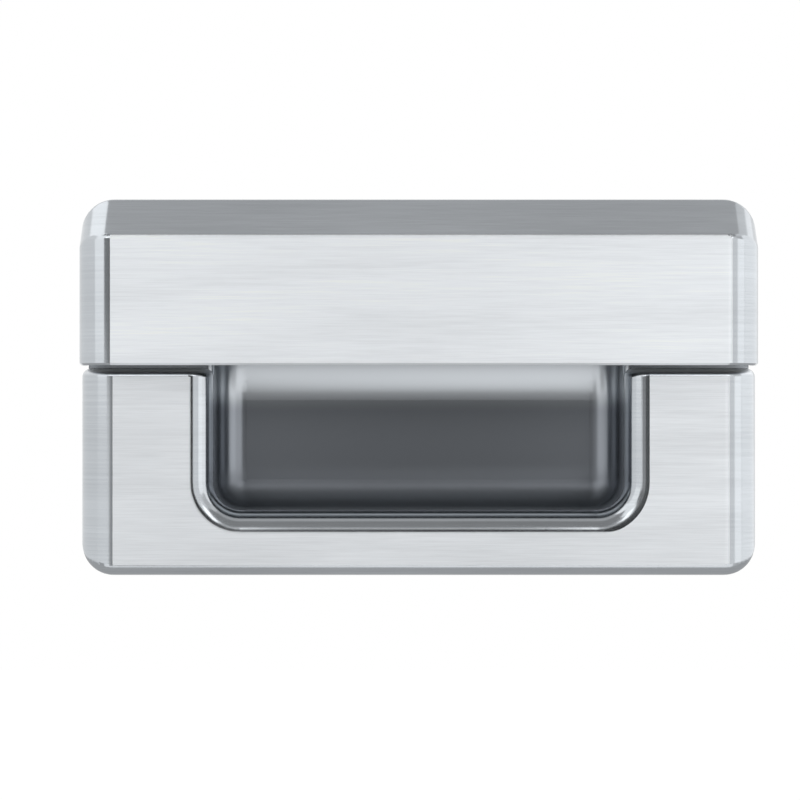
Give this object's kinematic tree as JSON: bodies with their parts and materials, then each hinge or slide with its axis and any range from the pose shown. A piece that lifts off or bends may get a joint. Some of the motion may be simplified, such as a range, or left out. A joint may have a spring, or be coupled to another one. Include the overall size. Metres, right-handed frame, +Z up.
{
  "type": "recessed handle",
  "caption": "Recessed pull handle in brushed stainless sheet, with a drawn finger cup under a raised hood whose top slopes back to the panel.",
  "frame": {"origin": "middle of the outline on the panel face, which is also the middle of the stud pattern", "axes": "+X along the width, +Z up, +Y into the panel, so the front looks towards -Y"},
  "size_m": [0.13, 0.0272, 0.072],
  "materials": {
    "pan_sheet": "brushed along the width, smoother in the drawn cup",
    "hood_sheet": "brushed along the width",
    "stud_steel": "bright rolled thread"
  },
  "bodies": {
    "root": {"face_pan": "pan_sheet", "hood": "hood_sheet", "upper_studs": "stud_steel", "lower_studs": "stud_steel"}
  },
  "joints": []
}
